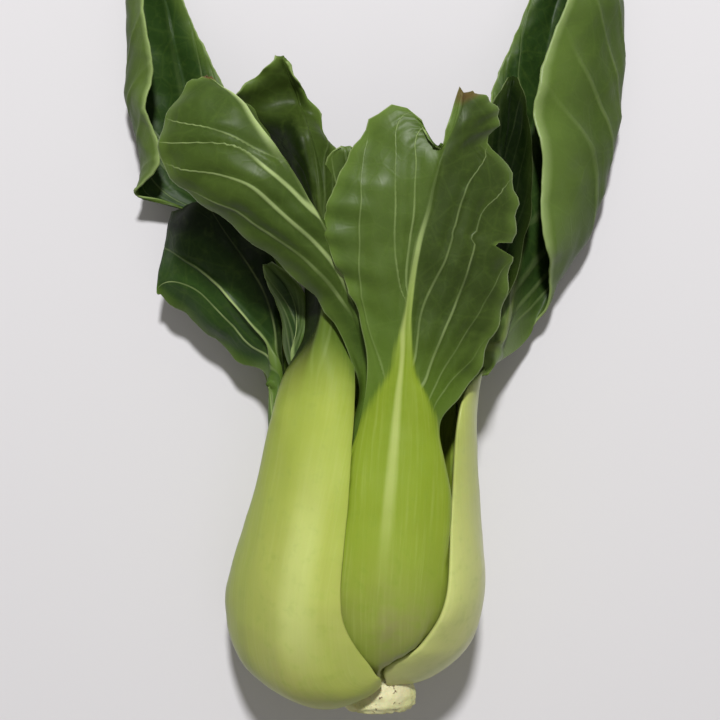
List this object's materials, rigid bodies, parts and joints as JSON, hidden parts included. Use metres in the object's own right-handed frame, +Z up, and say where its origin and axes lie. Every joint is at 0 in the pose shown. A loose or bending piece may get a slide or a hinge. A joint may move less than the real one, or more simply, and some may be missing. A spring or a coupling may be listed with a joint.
{
  "type": "bok choy head",
  "caption": "Head of baby bok choy lying on its side: a bulb of pale cupped stalks on a cut stem, spreading into dark waved and rolled leaf blades.",
  "frame": {"origin": "on the surface the head lies on, under the middle of its outline", "axes": "+Z up from the surface, +Y from the cut stem towards the leaf tips, +X to the right of someone looking down with the stem nearest them"},
  "size_m": [0.1267, 0.1891, 0.0604],
  "materials": {
    "stalk": "smooth, slightly waxy plant tissue",
    "blade": "veined, semi-gloss leaf",
    "base": "dry cut stem"
  },
  "bodies": {
    "root": {"back_left_blade": "blade", "back_left_stalk": "stalk", "back_right_blade": "blade", "back_right_stalk": "stalk", "front_left_blade": "blade", "front_left_stalk": "stalk", "front_middle_blade": "blade", "front_middle_stalk": "stalk", "heart_back_blade": "blade", "heart_back_stalk": "stalk", "heart_front_blade": "blade", "heart_front_stalk": "stalk", "inner_left_blade": "blade", "inner_left_stalk": "stalk", "inner_right_blade": "blade", "inner_right_stalk": "stalk", "inner_small_blade": "blade", "inner_small_stalk": "stalk", "left_blade": "blade", "left_stalk": "stalk", "lower_right_blade": "blade", "lower_right_stalk": "stalk", "right_blade": "blade", "right_stalk": "stalk", "stem": "base"}
  },
  "joints": []
}
